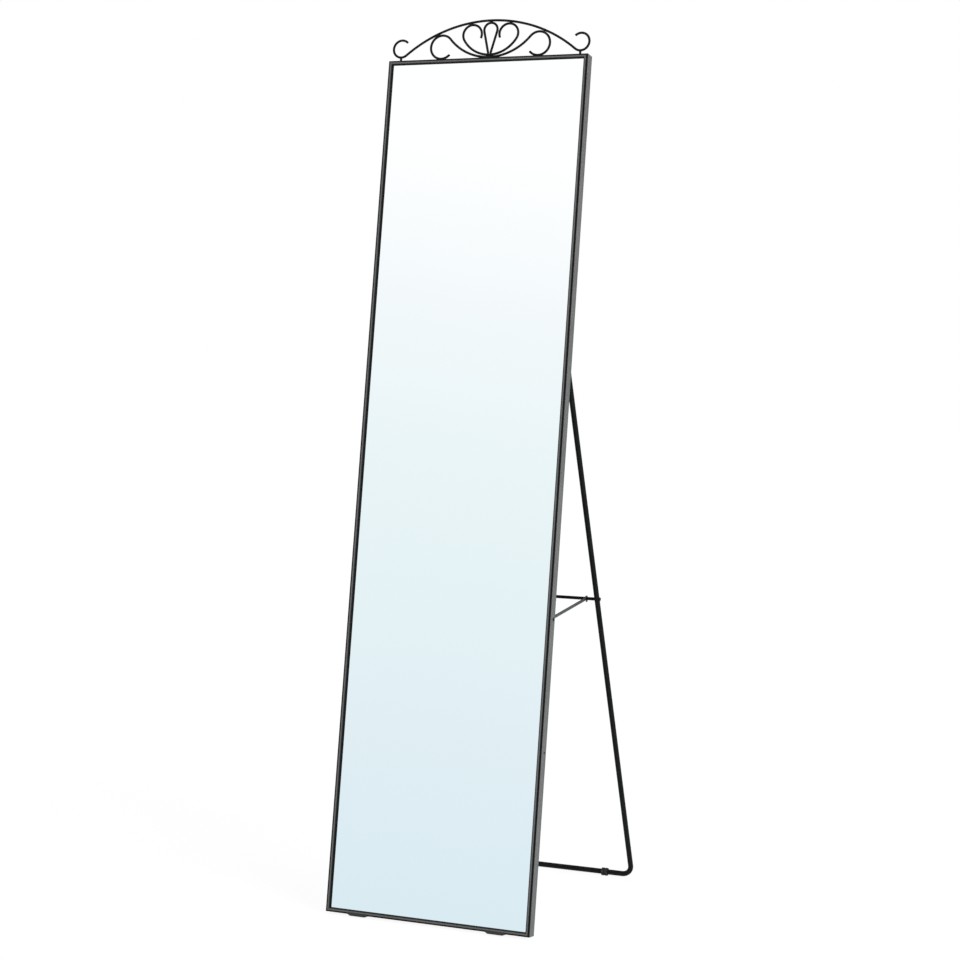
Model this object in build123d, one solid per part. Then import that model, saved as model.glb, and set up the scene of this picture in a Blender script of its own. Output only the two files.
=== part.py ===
from build123d import *

import os
from math import acos, asin, atan2, cos, degrees, hypot, radians, sin, sqrt

# Full-length mirror: a slim steel frame that leans back on a folding U leg.
#
# The glass sits in a leaning frame of four mitred steel members, with a crown of bent
# wire on top. A tube leg is hinged behind the stiles. Two flat stay arms turn on screws
# in the stiles and hook over a rod between the leg's uprights, which locks the leg open.
#
# The frame pieces are drawn upright and then leaned back. In that drawing X runs across
# the mirror, Y runs back from the front face and Z runs up the glass. The finished model
# stands on Z = 0, with its origin at the middle of its footprint. Sizes are millimetres
# and degrees.

# Frame members, rolled from sheet: a box at the front and a side wall behind it
frame_width = 400.0
frame_height = 1594.0
frame_depth = 25.0
lean = 10.53
face_width = 7.5
box_depth = 4.8
sheet = 1.5
edge_round = 1.5

# Glass, its film, its clips and the blocks that it stands on
glass_thickness = 3.0
glass_play = 1.0
film_thickness = 0.3
film_margin = 1.5
clip_sheet = 1.2
clip_reach = 9.0
clip_width = 14.0
clip_rear_inset = 2.5
rail_clip_spacing = 150.0
block_length = 30.0
block_spacing = 200.0

# Foot pads under the bottom rail
pad_spacing = 271.0
pad_length = 38.0
pad_bottom_length = 29.0
pad_drop = 2.5
pad_lip_height = 3.2
pad_lip_thickness = 0.8
pad_rear_inset = 3.0
pad_flat = 5.0
peg_diameter = 5.0
peg_rise = 2.0
peg_play = 0.1

# Crown of bent wire
wire_diameter = 4.5
crown_height = 76.0
crown_weld = 1.6
weld_gap = 0.1
weld_length = 12.0
weld_width = 3.4
arch_curl_spread = 361.6
arch_curl_radius = 16.5
arch_curl_tip = 46.0
post_height = 7.2
scroll_curl_radius = 22.4
scroll_curl_tip = 42.0
heart_spread = 73.2
heart_radius = 18.8
heart_tip = 22.0
teardrop_radius = 13.3
teardrop_foot = 4.9

# Leg: one bent tube with rubber rings, hinged behind the stiles
hinge_height = 1048.0
hinge_behind = 6.0
leg_top_spread = 369.0
leg_foot_spread = 502.0
leg_reach = 422.4
tube_diameter = 10.0
tube_wall = 1.2
leg_bend_radius = 18.0
leg_above_hinge = 12.0
hinge_flat_depth = 0.5
ring_diameter = 15.0
ring_width = 12.0
ring_groove_width = 2.4
ring_groove_depth = 1.2
ring_inset = 55.0
cap_head = 1.5
cap_plug = 8.0

# Hinge brackets, bolts, washers and nuts
bracket_sheet = 2.0
bracket_height = 30.0
bracket_rear_inset = 1.0
bracket_front_gap = 0.8
ear_radius = 7.0
bolt_diameter = 5.0
bolt_head_diameter = 8.5
bolt_head_height = 3.0
bolt_beyond_nut = 0.6
hinge_nut_size = 8.0
hinge_nut_height = 3.0
washer_diameter = 10.0
washer_thickness = 1.0

# Crossbar between the uprights
crossbar_drop = 477.0
crossbar_diameter = 6.0
crossbar_end_gap = 0.05
crossbar_screw_diameter = 3.0
crossbar_screw_depth = 14.0
crossbar_head_diameter = 7.6
crossbar_head_height = 1.8

# Stay arms and the screws that they turn on
stay_pin_height = 560.7
stay_pin_behind_film = 9.1
stay_thickness = 2.5
stay_width = 5.0
stay_eye_radius = 4.0
stay_spacer_length = 3.3
stay_spacer_diameter = 7.0
stay_screw_diameter = 4.0
stay_head_diameter = 7.0
stay_head_height = 1.4
stay_nut_size = 7.0
stay_nut_height = 3.0
hook_wall = 2.0
hook_finger = 4.5
hook_play = 0.35
stay_folded_angle = 88.0

# Running clearances, and the gap that the folded leg keeps behind the frame
turn_play = 0.05
side_play = 0.1
fold_gap = 3.0

# Places that follow from the sizes above, in the upright drawing
half_width = frame_width / 2
wall_inside = half_width - sheet
glass_back = box_depth + glass_thickness
film_back = glass_back + film_thickness
wire_radius = wire_diameter / 2
tube_radius = tube_diameter / 2
ring_radius = ring_diameter / 2
ring_x = leg_foot_spread / 2 - ring_inset
pad_heel = frame_depth - pad_rear_inset
hinge_y = frame_depth + hinge_behind
hinge_x = leg_top_spread / 2
stay_pin_y = film_back + stay_pin_behind_film

# The frame's front bottom edge stands this far above the floor
lift = pad_drop * cos(radians(lean)) + (pad_heel - pad_flat) * sin(radians(lean))


def standing(y, z):
    """A point of the upright drawing, leaned back: its Y and its height."""
    a = radians(lean)
    return z * sin(a) + y * cos(a), lift + z * cos(a) - y * sin(a)


def drawn(y, z):
    """The other way round: a standing point's Y and Z in the upright drawing."""
    a = radians(lean)
    up = z - lift
    return y * cos(a) - up * sin(a), y * sin(a) + up * cos(a)


def leaned(shape):
    """Leans a piece of the upright drawing back to where it stands."""
    return Pos(0, 0, lift) * Rot(X=-lean) * shape


def both_sides(shape):
    """The piece and its mirror image across the middle of the frame."""
    return [shape, mirror(shape, about=Plane.YZ)]


def rod_x(x_from, x_to, y, z, radius):
    """A round rod along X between two places."""
    start = Plane(origin=(x_from, y, z), z_dir=(1, 0, 0))
    return extrude(start * Circle(radius), amount=x_to - x_from)


def hex_x(x_from, x_to, y, z, across_flats):
    """A hexagonal bar along X between two places."""
    start = Plane(origin=(x_from, y, z), z_dir=(1, 0, 0))
    outline = RegularPolygon(across_flats / sqrt(3), 6)
    return extrude(start * outline, amount=x_to - x_from)


def block(x_from, x_to, y_from, y_to, z_from, z_to):
    """A box between two corners."""
    middle = Pos((x_from + x_to) / 2, (y_from + y_to) / 2, (z_from + z_to) / 2)
    return middle * Box(x_to - x_from, y_to - y_from, z_to - z_from)


# The leg's line, from its hinge to the bar on the floor
hinge_stand_y, hinge_stand_z = standing(hinge_y, hinge_height)
leg_dy = leg_reach - hinge_stand_y
leg_dz = hinge_stand_z - ring_radius
leg_length = hypot(leg_dy, leg_dz)
leg_slope = (leg_foot_spread / 2 - hinge_x) / leg_length
splay = atan2(leg_foot_spread / 2 - hinge_x, leg_length)
leg_plane = Plane(
    origin=(0, hinge_stand_y, hinge_stand_z),
    x_dir=(1, 0, 0),
    z_dir=(0, leg_dz / leg_length, leg_dy / leg_length),
)


def upright_x(below_hinge):
    """How far out an upright's centre line is, at a distance below the hinge."""
    return hinge_x + leg_slope * below_hinge


# The crossbar's place, and how the stay arm points at it
crossbar_y = hinge_stand_y + leg_dy * crossbar_drop / leg_length
crossbar_z = hinge_stand_z - leg_dz * crossbar_drop / leg_length
crossbar_drawn = drawn(crossbar_y, crossbar_z)
stay_rise = crossbar_drawn[1] - stay_pin_height
stay_run = crossbar_drawn[0] - stay_pin_y
stay_length = hypot(stay_run, stay_rise)
stay_rest_angle = degrees(atan2(stay_rise, stay_run))

# How far the leg folds, and how fast the stay arms rise as it does
bar_drawn = drawn(leg_reach, ring_radius)
leg_rest_angle = degrees(asin((bar_drawn[0] - hinge_y) / leg_length))
bar_folded_y = frame_depth + ring_radius + fold_gap
leg_folded_angle = degrees(asin((bar_folded_y - hinge_y) / leg_length))
fold_angle = leg_rest_angle - leg_folded_angle
stay_swing = stay_folded_angle - stay_rest_angle
stay_ratio = stay_swing / fold_angle


def frame_section():
    """Section of a frame member: X runs in from its outer face, Y runs back."""
    outline = Polyline(
        (0, 0),
        (face_width, 0),
        (face_width, box_depth),
        (sheet, box_depth),
        (sheet, frame_depth),
        (0, frame_depth),
        close=True,
    )
    face = make_face(outline)
    face = fillet(face.vertices().group_by(Axis.Y)[0], edge_round)
    hollow = Rectangle(face_width - 2 * sheet, box_depth - 2 * sheet)
    return face - Pos(face_width / 2, box_depth / 2) * hollow


def mitre(points):
    """A prism through the frame's depth, whose slanted ends cut the mitres."""
    start = Plane.XZ.offset(1)
    outline = start * make_face(Polyline(*points, close=True))
    return extrude(outline, amount=-(frame_depth + 2))


def make_stile():
    """The right stile, with the hole for its stay screw."""
    member = extrude(frame_section(), amount=frame_height)
    member = Pos(-half_width, 0, 0) * member
    inner = -half_width + face_width
    member &= mitre(
        [
            (-half_width, 0),
            (inner, face_width),
            (inner, frame_height - face_width),
            (-half_width, frame_height),
        ]
    )
    hole_radius = stay_screw_diameter / 2 + turn_play
    hole = rod_x(wall_inside - 1, half_width + 1, stay_pin_y, stay_pin_height, hole_radius)
    return mirror(member, about=Plane.YZ) - hole


def make_bottom_rail():
    """The bottom rail, before its peg holes."""
    member = extrude(frame_section(), amount=frame_width)
    member = Pos(half_width, 0, 0) * Rot(Y=-90) * member
    return member & mitre(
        [
            (-half_width, 0),
            (half_width, 0),
            (half_width - face_width, face_width),
            (-half_width + face_width, face_width),
        ]
    )


# Pegs stand midway between the film and the pad's rear edge
peg_y = (film_back + pad_heel) / 2


def make_peg(radius, top):
    """The right pad's peg, or the hole for it."""
    start = Plane(origin=(pad_spacing / 2, peg_y, -pad_drop / 2), z_dir=(0, 0, 1))
    return extrude(start * Circle(radius), amount=top + pad_drop / 2)


def make_foot_pad():
    """The right foot pad: a block with a lip on the rail's face and a peg in its wall."""
    half_top = pad_length / 2
    half_bottom = pad_bottom_length / 2
    outline = Polyline(
        (-half_bottom, -pad_drop),
        (half_bottom, -pad_drop),
        (half_top, 0),
        (-half_top, 0),
        close=True,
    )
    front = Plane.XZ.offset(pad_lip_thickness)
    body = extrude(front * make_face(outline), amount=-(pad_heel + pad_lip_thickness))
    lip = block(-half_top, half_top, -pad_lip_thickness, 0, 0, pad_lip_height)
    pad = Pos(pad_spacing / 2, 0, 0) * (body + lip)
    pad += make_peg(peg_diameter / 2, sheet + peg_rise)
    below_floor = block(0, frame_width, -frame_width, frame_width, -frame_width, 0)
    return leaned(pad) - below_floor


def make_glass():
    half = wall_inside - glass_play
    bottom = sheet + glass_play
    top = frame_height - sheet - glass_play
    return block(-half, half, box_depth, glass_back, bottom, top)


def make_film():
    half = wall_inside - glass_play - film_margin
    bottom = sheet + glass_play + film_margin
    top = frame_height - sheet - glass_play - film_margin
    return block(-half, half, glass_back, film_back, bottom, top)


def make_clip():
    """A bent clip that lies on a wall at X = 0 and reaches in over the film."""
    rear = frame_depth - clip_rear_inset
    wall = block(-clip_sheet, 0, film_back, rear, -clip_width / 2, clip_width / 2)
    foot = block(
        -clip_reach, 0, film_back, film_back + clip_sheet, -clip_width / 2, clip_width / 2
    )
    return wall + foot


def clip_heights():
    """Heights of the stile clips, clear of the stay arms and the hinge brackets."""
    stay_top = stay_pin_height + stay_length
    above_hinge = frame_height - hinge_height
    return [
        stay_pin_height * 0.25,
        stay_pin_height * 0.75,
        (stay_top + hinge_height) / 2,
        hinge_height + above_hinge / 3,
        hinge_height + above_hinge * 0.85,
    ]


def make_clips():
    clips = []
    for height in clip_heights():
        clips += both_sides(Pos(wall_inside, 0, height) * make_clip())
    upper = Rot(Y=-90) * make_clip()
    lower = Rot(Y=90) * make_clip()
    for x in (-rail_clip_spacing / 2, rail_clip_spacing / 2):
        clips.append(Pos(x, 0, frame_height - sheet) * upper)
        clips.append(Pos(x, 0, sheet) * lower)
    return clips


def make_setting_block():
    """A rubber block that the glass's lower edge stands on."""
    middle = block_spacing / 2
    return block(
        middle - block_length / 2,
        middle + block_length / 2,
        box_depth,
        glass_back,
        sheet,
        sheet + glass_play,
    )


# Crown: every wire is lines and arcs in one plane, halfway back on the top rail
crown_plane = Plane.XZ.offset(-frame_depth / 2)
apex = frame_height + crown_height - wire_radius
wire_base = frame_height + crown_weld + wire_radius

# The arch meets each of its end curls tangentially, which sets its radius
arch_curl_x = arch_curl_spread / 2
arch_curl_z = frame_height + post_height + wire_radius + arch_curl_radius
arch_drop = apex - arch_curl_z
arch_radius = (arch_curl_x**2 + arch_drop**2 - arch_curl_radius**2) / (
    2 * (arch_drop + arch_curl_radius)
)
arch_z = apex - arch_radius

# The scroll's curls touch the rail and the arch, and its valley touches both curls
wire_pitch = wire_diameter + weld_gap
scroll_curl_z = wire_base + scroll_curl_radius
scroll_curl_x = sqrt(
    (arch_radius - wire_pitch - scroll_curl_radius) ** 2 - (scroll_curl_z - arch_z) ** 2
)
valley_radius = scroll_curl_x**2 / (4 * scroll_curl_radius)
valley_z = wire_base + valley_radius

# The heart's lobes hang under the arch, and its lower arc rests on the scroll
heart_x = heart_spread / 2
heart_z = arch_z + sqrt((arch_radius - wire_pitch - heart_radius) ** 2 - heart_x**2)
heart_base = wire_base + wire_pitch
heart_rise = heart_z - heart_base
heart_arc_radius = (heart_x**2 + heart_rise**2 - heart_radius**2) / (
    2 * (heart_rise - heart_radius)
)
heart_arc_z = heart_base + heart_arc_radius


def make_wire(parts):
    """A round wire along a chain of lines and arcs in the crown's plane."""
    path = crown_plane * Wire([edge for part in parts for edge in part.edges()])
    start = Plane(origin=path @ 0, z_dir=path % 0)
    return sweep(start * Circle(wire_radius), path=path)


def mirrored_chain(curl, middle):
    """A curl, what joins it, and the same curl on the other side."""
    return [curl, middle, mirror(curl, about=Plane.YZ)]


def make_arch():
    join = degrees(atan2(arch_z - arch_curl_z, arch_curl_x)) + 360
    centre = (-arch_curl_x, arch_curl_z)
    curl = CenterArc(centre, arch_curl_radius, arch_curl_tip, join - arch_curl_tip)
    turn = 2 * (join - 270)
    arch = CenterArc((0, arch_z), arch_radius, join - 180, -turn)
    return make_wire(mirrored_chain(curl, arch))


def make_scroll():
    join = degrees(atan2(valley_z - scroll_curl_z, scroll_curl_x))
    centre = (-scroll_curl_x, scroll_curl_z)
    sweep_angle = -(360 - scroll_curl_tip - join)
    curl = CenterArc(centre, scroll_curl_radius, -scroll_curl_tip, sweep_angle)
    valley = CenterArc((0, valley_z), valley_radius, 180 + join, 180 - 2 * join)
    return make_wire(mirrored_chain(curl, valley))


def make_heart():
    join = 180 + degrees(atan2(heart_arc_z - heart_z, heart_x))
    lobe = CenterArc((-heart_x, heart_z), heart_radius, -heart_tip, join + heart_tip)
    arc = CenterArc((0, heart_arc_z), heart_arc_radius, join, 2 * (270 - join))
    return make_wire(mirrored_chain(lobe, arc))


def make_teardrop():
    """A loop under the arch, whose two legs come together on the heart."""
    centre_z = apex - wire_pitch - teardrop_radius
    foot_x = teardrop_foot / 2
    rest_radius = heart_arc_radius - wire_radius - weld_gap
    rest_z = heart_arc_z - sqrt(rest_radius**2 - (foot_x + wire_radius) ** 2)
    fall = centre_z - rest_z
    slope = asin(teardrop_radius / hypot(foot_x, fall)) - atan2(foot_x, fall)
    foot_z = rest_z + wire_radius * sin(slope)
    reach = hypot(foot_x, centre_z - foot_z)
    turn = degrees(acos(teardrop_radius / reach) + atan2(foot_z - centre_z, foot_x))
    loop = CenterArc((0, centre_z), teardrop_radius, 180 - turn, 2 * turn - 180)
    left = Line((-foot_x, foot_z), loop @ 0)
    right = Line(loop @ 1, (foot_x, foot_z))
    return make_wire([left, loop, right])


def make_post():
    """The short post under the right end curl of the arch."""
    top = arch_curl_z - arch_curl_radius - wire_radius - weld_gap
    foot = Pos(arch_curl_x, frame_depth / 2, frame_height)
    return foot * extrude(Circle(wire_radius), amount=top - frame_height)


def make_weld(x, centre_z, radius):
    """A weld bead between the top rail and the underside of a bent wire."""
    top = frame_height + 1.5 * crown_weld
    middle = frame_depth / 2
    bead = block(
        x - weld_length / 2,
        x + weld_length / 2,
        middle - weld_width / 2,
        middle + weld_width / 2,
        frame_height,
        top,
    )
    start = Plane.XZ * Pos(x, centre_z)
    underside = extrude(
        start * Circle(radius + wire_radius + weld_gap), amount=-frame_depth
    )
    return bead - underside


# Hinge: bracket on the stile's wall, washer, bolt through the tube, nut behind the ear
flat_x = tube_radius - hinge_flat_depth
ear_inside = hinge_x + flat_x + washer_thickness + 2 * side_play
ear_outside = ear_inside + bracket_sheet


def make_bracket():
    """The right hinge bracket: a flange on the wall, a web and an ear for the bolt."""
    web_back = frame_depth - bracket_rear_inset
    low = hinge_height - bracket_height / 2
    high = hinge_height + bracket_height / 2
    front = film_back + bracket_front_gap
    flange = block(wall_inside - bracket_sheet, wall_inside, front, web_back, low, high)
    web = block(ear_inside, wall_inside, web_back - bracket_sheet, web_back, low, high)
    ear = block(
        ear_inside,
        ear_outside,
        web_back - bracket_sheet,
        hinge_y,
        hinge_height - ear_radius,
        hinge_height + ear_radius,
    )
    ear += rod_x(ear_inside, ear_outside, hinge_y, hinge_height, ear_radius)
    hole_radius = bolt_diameter / 2 + turn_play
    hole = rod_x(ear_inside - 1, ear_outside + 1, hinge_y, hinge_height, hole_radius)
    return flange + web + ear - hole


def make_pivot_bolt():
    inner = hinge_x - flat_x - side_play
    end = ear_outside + hinge_nut_height + bolt_beyond_nut
    head = rod_x(
        inner - bolt_head_height, inner, hinge_y, hinge_height, bolt_head_diameter / 2
    )
    head = chamfer(head.faces().sort_by(Axis.X)[0].edges(), bolt_head_height / 4)
    return head + rod_x(inner, end, hinge_y, hinge_height, bolt_diameter / 2)


def make_pivot_washer():
    start = hinge_x + flat_x + side_play
    end = start + washer_thickness
    disc = rod_x(start, end, hinge_y, hinge_height, washer_diameter / 2)
    hole_radius = bolt_diameter / 2 + turn_play
    return disc - rod_x(start - 1, end + 1, hinge_y, hinge_height, hole_radius)


def make_pivot_nut():
    start = ear_outside
    end = start + hinge_nut_height
    nut = hex_x(start, end, hinge_y, hinge_height, hinge_nut_size)
    hole_radius = bolt_diameter / 2 + turn_play
    return nut - rod_x(start - 1, end + 1, hinge_y, hinge_height, hole_radius)


# Stay screws: head outside the stile, then wall, spacer, arm and nut
stay_outside = wall_inside - stay_spacer_length - side_play
stay_inside = stay_outside - stay_thickness
stay_hole_radius = stay_screw_diameter / 2 + turn_play


def make_stay_screw():
    end = stay_inside - side_play - stay_nut_height
    shank = rod_x(
        end, half_width, stay_pin_y, stay_pin_height, stay_screw_diameter / 2
    )
    rim = half_width + stay_head_height
    head = rod_x(half_width, rim, stay_pin_y, stay_pin_height, stay_head_diameter / 2)
    head = fillet(head.faces().sort_by(Axis.X)[-1].edges(), stay_head_height * 0.7)
    return shank + head


def make_stay_spacer():
    start = stay_outside + side_play
    place = (stay_pin_y, stay_pin_height)
    sleeve = rod_x(start, wall_inside, *place, stay_spacer_diameter / 2)
    return sleeve - rod_x(start - 1, wall_inside + 1, *place, stay_hole_radius)


def make_stay_nut():
    end = stay_inside - side_play
    start = end - stay_nut_height
    place = (stay_pin_y, stay_pin_height)
    nut = hex_x(start, end, *place, stay_nut_size)
    return nut - rod_x(start - 1, end + 1, *place, stay_hole_radius)


# Leg tube and what is on it, drawn in the leg's own sloping plane
def leg_path():
    """The tube's centre line: down one upright, along the bar and up the other."""
    top_x = upright_x(-leg_above_hinge)
    foot_x = leg_foot_spread / 2
    return leg_plane * FilletPolyline(
        (-top_x, -leg_above_hinge),
        (-foot_x, leg_length),
        (foot_x, leg_length),
        (top_x, -leg_above_hinge),
        radius=leg_bend_radius,
    )


def make_leg_tube():
    path = leg_path()
    start = Plane(origin=path @ 0, z_dir=path % 0)
    ring = Circle(tube_radius) - Circle(tube_radius - tube_wall)
    tube = sweep(start * ring, path=path)
    reach = hinge_x + tube_diameter
    place = (hinge_stand_y, hinge_stand_z)
    tube -= rod_x(-reach, reach, *place, bolt_diameter / 2 + turn_play)
    for side in (-1, 1):
        for face in (-1, 1):
            middle = side * hinge_x + face * (flat_x + tube_radius)
            cut = Box(tube_diameter, 2 * tube_diameter, washer_diameter + 2)
            tube -= Pos(middle, *place) * cut
    reach = upright_x(crossbar_drop) + tube_diameter
    hole_radius = crossbar_screw_diameter / 2 + turn_play
    return tube - rod_x(-reach, reach, crossbar_y, crossbar_z, hole_radius)


def make_end_cap():
    """The plug in the right upright's top end, with a head as wide as the tube."""
    path = leg_path()
    end = Plane(origin=path @ 1, z_dir=path % 1)
    head = extrude(Circle(tube_radius), amount=cap_head)
    head = fillet(head.faces().sort_by(Axis.Z)[-1].edges(), cap_head / 2)
    plug_radius = tube_radius - tube_wall - turn_play
    plug = extrude(Circle(plug_radius), amount=-cap_plug)
    bolt_hole = rod_x(
        0, 2 * hinge_x, hinge_stand_y, hinge_stand_z, bolt_diameter / 2 + turn_play
    )
    return end * (head + plug) - bolt_hole


def make_foot_ring():
    """The right rubber ring on the bar: two ridges with a groove between them."""
    start = ring_x - ring_width / 2
    end = start + ring_width
    place = (leg_reach, ring_radius)
    ring = rod_x(start, end, *place, ring_radius)
    ring = fillet(ring.edges().filter_by(GeomType.CIRCLE), ring_groove_depth / 2)
    groove = rod_x(
        ring_x - ring_groove_width / 2, ring_x + ring_groove_width / 2, *place, ring_diameter
    )
    core = rod_x(start, end, *place, ring_radius - ring_groove_depth)
    ring -= groove - core
    return ring - rod_x(start - 1, end + 1, *place, tube_radius + turn_play)


# The crossbar ends against the inside of the uprights, which splay past its square ends
upright_half = tube_radius / cos(splay)
crossbar_half = (
    upright_x(crossbar_drop)
    - upright_half
    - leg_slope * crossbar_diameter / 2
    - crossbar_end_gap
)
crossbar_place = (crossbar_y, crossbar_z)
crossbar_bore_radius = crossbar_screw_diameter / 2 + turn_play


def make_crossbar():
    rod = rod_x(-crossbar_half, crossbar_half, *crossbar_place, crossbar_diameter / 2)
    bottom = crossbar_half - crossbar_screw_depth
    bore = rod_x(bottom, crossbar_half + 1, *crossbar_place, crossbar_bore_radius)
    return rod - both_sides(bore)


def make_crossbar_screw():
    """The right end screw: a domed head outside the upright and a shank in the rod."""
    head_splay = leg_slope * crossbar_head_diameter / 2
    seat = upright_x(crossbar_drop) + upright_half + head_splay + crossbar_end_gap
    rim = seat + crossbar_head_height
    head = rod_x(seat, rim, *crossbar_place, crossbar_head_diameter / 2)
    head = fillet(head.faces().sort_by(Axis.X)[-1].edges(), crossbar_head_height * 0.8)
    tip = crossbar_half - crossbar_screw_depth + 1
    return head + rod_x(tip, seat, *crossbar_place, crossbar_screw_diameter / 2)


def hook_direction():
    """Which way the crossbar leaves the hook, seen along the arm, as the leg folds."""
    leave = fold_angle / 50
    leg_angle = radians(leg_rest_angle - leave)
    bar_y = hinge_y + crossbar_drop * sin(leg_angle)
    bar_z = hinge_height - crossbar_drop * cos(leg_angle)
    arm_angle = radians(stay_rest_angle + leave * stay_ratio)
    dy = bar_y - stay_pin_y
    dz = bar_z - stay_pin_height
    along = dy * cos(arm_angle) + dz * sin(arm_angle) - stay_length
    across = dz * cos(arm_angle) - dy * sin(arm_angle)
    return degrees(atan2(across, along))


def make_stay_arm():
    """The right stay arm: an eye on its screw, a flat bar and a hook for the crossbar."""
    a = radians(stay_rest_angle)
    plane = Plane(
        origin=(stay_inside, stay_pin_y, stay_pin_height),
        x_dir=(0, cos(a), sin(a)),
        z_dir=(1, 0, 0),
    )
    slot_radius = crossbar_diameter / 2 + hook_play
    hook_radius = slot_radius + hook_wall
    bar = Pos(stay_length / 2, 0) * Rectangle(stay_length, stay_width)
    crossbar_end = Pos(stay_length, 0) * Rot(Z=hook_direction())
    across = (slot_radius + hook_radius) / 2
    finger = crossbar_end * Pos(hook_finger / 2, across) * Rectangle(hook_finger, hook_wall)
    tip = crossbar_end * Pos(hook_finger, across) * Circle(hook_wall / 2)
    outline = bar + Circle(stay_eye_radius) + finger + tip
    outline += Pos(stay_length, 0) * Circle(hook_radius)
    slot_length = 4 * hook_radius
    slot = crossbar_end * Pos(slot_length / 2, 0) * Rectangle(slot_length, 2 * slot_radius)
    outline -= slot + Pos(stay_length, 0) * Circle(slot_radius)
    outline -= Circle(stay_hole_radius)
    return extrude(plane * outline, amount=stay_thickness)


right_stile = make_stile()
bottom_rail = make_bottom_rail()
left_foot_pad = mirror(make_foot_pad(), about=Plane.YZ)
peg_hole = make_peg(peg_diameter / 2 + peg_play, sheet + 1)

# Pieces of the leaning frame, then pieces that are already where they stand
leaning = {
    "right_stile": [right_stile],
    "left_stile": [mirror(right_stile, about=Plane.YZ)],
    "top_rail": [Pos(0, 0, frame_height) * mirror(bottom_rail, about=Plane.XY)],
    "bottom_rail": [bottom_rail - both_sides(peg_hole)],
    "mirror_glass": [make_glass()],
    "safety_film": [make_film()],
    "glass_clips": make_clips(),
    "setting_blocks": both_sides(make_setting_block()),
    "arch_wire": [make_arch()],
    "scroll_wire": [make_scroll()],
    "heart_wire": [make_heart()],
    "teardrop_wire": [make_teardrop()],
    "crown_posts": both_sides(make_post()),
    "crown_welds": [make_weld(0, valley_z, valley_radius)]
    + both_sides(make_weld(scroll_curl_x, scroll_curl_z, scroll_curl_radius)),
    "right_hinge_bracket": [make_bracket()],
    "left_hinge_bracket": [mirror(make_bracket(), about=Plane.YZ)],
    "pivot_bolts": both_sides(make_pivot_bolt()),
    "pivot_washers": both_sides(make_pivot_washer()),
    "pivot_nuts": both_sides(make_pivot_nut()),
    "stay_screws": both_sides(make_stay_screw()),
    "stay_spacers": both_sides(make_stay_spacer()),
    "stay_nuts": both_sides(make_stay_nut()),
    "right_stay_arm": [make_stay_arm()],
    "left_stay_arm": [mirror(make_stay_arm(), about=Plane.YZ)],
}
standing_pieces = {
    "right_foot_pad": [make_foot_pad()],
    "left_foot_pad": [left_foot_pad],
    "leg_tube": [make_leg_tube()],
    "leg_end_caps": both_sides(make_end_cap()),
    "right_foot_ring": [make_foot_ring()],
    "left_foot_ring": [mirror(make_foot_ring(), about=Plane.YZ)],
    "crossbar": [make_crossbar()],
    "crossbar_screws": both_sides(make_crossbar_screw()),
}

pieces = {name: [leaned(shape) for shape in shapes] for name, shapes in leaning.items()}
pieces.update(standing_pieces)


def solids_of(shapes):
    """Every solid of a list of shapes."""
    return [solid for shape in shapes for solid in shape.solids()]


# The footprint's middle becomes Y = 0
whole = Compound(children=[s for shapes in pieces.values() for s in solids_of(shapes)])
box = whole.bounding_box()
to_middle = -(box.min.Y + box.max.Y) / 2

os.makedirs("parts", exist_ok=True)
for name, shapes in pieces.items():
    node = Compound(children=[Pos(0, to_middle, 0) * s for s in solids_of(shapes)])
    export_step(node, f"parts/{name}.step")

stay_stand = standing(stay_pin_y, stay_pin_height)
print("overall", round(box.size.X, 2), round(box.size.Y, 2), round(box.size.Z, 2))
print("leg hinge y z", hinge_stand_y + to_middle, hinge_stand_z)
print("stay pin y z", stay_stand[0] + to_middle, stay_stand[1])
print("fold angle", fold_angle, "stay swing", stay_swing, "ratio", stay_ratio)
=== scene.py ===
import math

import bmesh
import bpy
import numpy as np
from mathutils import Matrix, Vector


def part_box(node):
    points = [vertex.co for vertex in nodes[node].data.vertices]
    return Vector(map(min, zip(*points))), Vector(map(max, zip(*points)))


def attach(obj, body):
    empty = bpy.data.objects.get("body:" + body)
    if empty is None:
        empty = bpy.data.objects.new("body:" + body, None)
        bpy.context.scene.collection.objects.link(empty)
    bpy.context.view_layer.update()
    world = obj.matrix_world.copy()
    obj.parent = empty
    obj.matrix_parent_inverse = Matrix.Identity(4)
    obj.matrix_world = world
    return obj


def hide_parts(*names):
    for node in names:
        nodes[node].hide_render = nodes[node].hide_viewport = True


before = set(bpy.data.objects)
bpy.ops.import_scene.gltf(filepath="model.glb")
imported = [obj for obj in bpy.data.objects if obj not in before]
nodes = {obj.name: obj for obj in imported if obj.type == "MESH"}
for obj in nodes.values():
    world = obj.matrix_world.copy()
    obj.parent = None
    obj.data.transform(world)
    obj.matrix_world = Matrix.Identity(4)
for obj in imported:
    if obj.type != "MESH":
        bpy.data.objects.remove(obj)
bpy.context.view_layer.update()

# The frame: four lengths of rolled steel sheet, mitred and welded at the corners, then
# powder coated in one go. The coat is a dark warm grey with a fine pebbled skin. Shade
# is painted into it: darker along the rolled corners, and all but black inside the rebate
# that holds the glass.
LEAN = math.radians(10.53)
LIFT = 0.0055651
TO_MIDDLE = -0.2143304
HALF_WIDTH = 0.2
FRAME_HEIGHT = 1.594
FRAME_DEPTH = 0.025
FACE_WIDTH = 0.0075
SHEET = 0.0015


def new_surface(name):
    """An empty material with a principled surface and the object's own coordinates."""
    material = bpy.data.materials.new(name)
    material.use_nodes = True
    tree = material.node_tree
    surface = tree.nodes["Principled BSDF"]
    place = tree.nodes.new("ShaderNodeTexCoord").outputs["Object"]
    return material, tree, surface, place


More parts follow.
